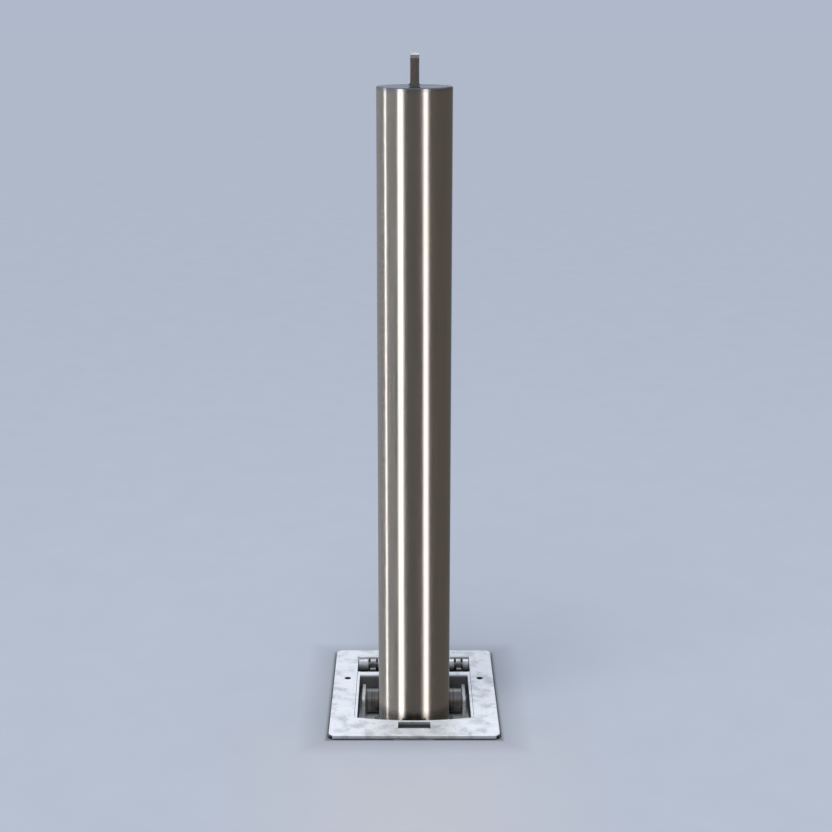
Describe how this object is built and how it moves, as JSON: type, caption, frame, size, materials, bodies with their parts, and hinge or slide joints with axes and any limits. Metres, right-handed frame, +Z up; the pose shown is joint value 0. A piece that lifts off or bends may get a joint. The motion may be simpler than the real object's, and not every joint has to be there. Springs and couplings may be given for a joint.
{
  "type": "removable bollard",
  "caption": "Lift-out round stainless steel post with a hoop handle, standing in a galvanised ground socket with a framed pit, hinge bar, guide roller and key lock.",
  "frame": {"origin": "On the post's axis, at ground level, where the underside of the frame plate lies", "axes": "+Z is up along the post, -Y is the side with the key slot, +X is to the right seen from that side"},
  "size_m": [0.272, 0.3545, 1.3585],
  "materials": {
    "post_steel": "brushed stainless, vertical grain",
    "cap_steel": "brushed stainless",
    "galvanised": "hot-dip galvanised, mottled",
    "pit_steel": "galvanised, dirty and dull",
    "roller_steel": "turned steel, worn",
    "dark_steel": "dark oiled steel",
    "lock_brass": "plain brass",
    "bearing": "dry plastic bearing",
    "pad_rubber": "matt black rubber"
  },
  "bodies": {
    "socket": {"frame_plate": "galvanised", "pit_wall_left": "galvanised", "pit_wall_right": "galvanised", "pit_wall_front": "galvanised", "pit_wall_rear": "galvanised", "cross_wall": "galvanised", "pit_floor": "pit_steel", "side_plate_left": "pit_steel", "side_plate_right": "pit_steel", "roller_axle": "roller_steel", "axle_clips": "dark_steel", "axle_washers": "roller_steel", "hinge_lug_left": "pit_steel", "hinge_lug_right": "pit_steel", "hinge_pin": "roller_steel", "hinge_sleeve_left": "galvanised", "hinge_sleeve_middle": "galvanised", "hinge_sleeve_right": "galvanised", "socket_tube": "galvanised", "socket_base": "galvanised", "anchor_rods": "dark_steel", "lock_case": "dark_steel", "lock_cover": "pit_steel", "cover_screws": "roller_steel", "case_screws": "roller_steel"},
    "post": {"post_tube": "post_steel", "top_cap": "cap_steel", "lift_handle": "cap_steel", "handle_welds": "cap_steel", "lock_keeper": "pit_steel", "foot_plate": "pit_steel", "foot_pad": "pad_rubber", "pad_screw": "roller_steel"},
    "key": {"key_plug": "lock_brass", "lock_cam": "dark_steel"},
    "bolt": {"lock_bolt": "roller_steel"},
    "roller": {"guide_roller": "roller_steel", "roller_bushes": "bearing"}
  },
  "joints": [
    {"name": "post_lift", "type": "slide", "parent": "socket", "child": "post", "axis": [0, 0, 1], "range_m": [0, 0.33]},
    {"name": "key_turn", "type": "hinge", "parent": "socket", "child": "key", "pos_m": [0, -0.08, -0.006], "axis": [0, 0, 1], "range_deg": [0, 90]},
    {"name": "bolt_slide", "type": "slide", "parent": "socket", "child": "bolt", "axis": [0, 1, 0], "range_m": [0, 0.014]},
    {"name": "roller_spin", "type": "hinge", "parent": "socket", "child": "roller", "pos_m": [0, 0.07775, -0.0236], "axis": [1, 0, 0], "continuous": true}
  ],
  "couplings": [
    {"joint": "key_turn", "follows": "bolt_slide", "rad_per_m": 112.2}
  ]
}
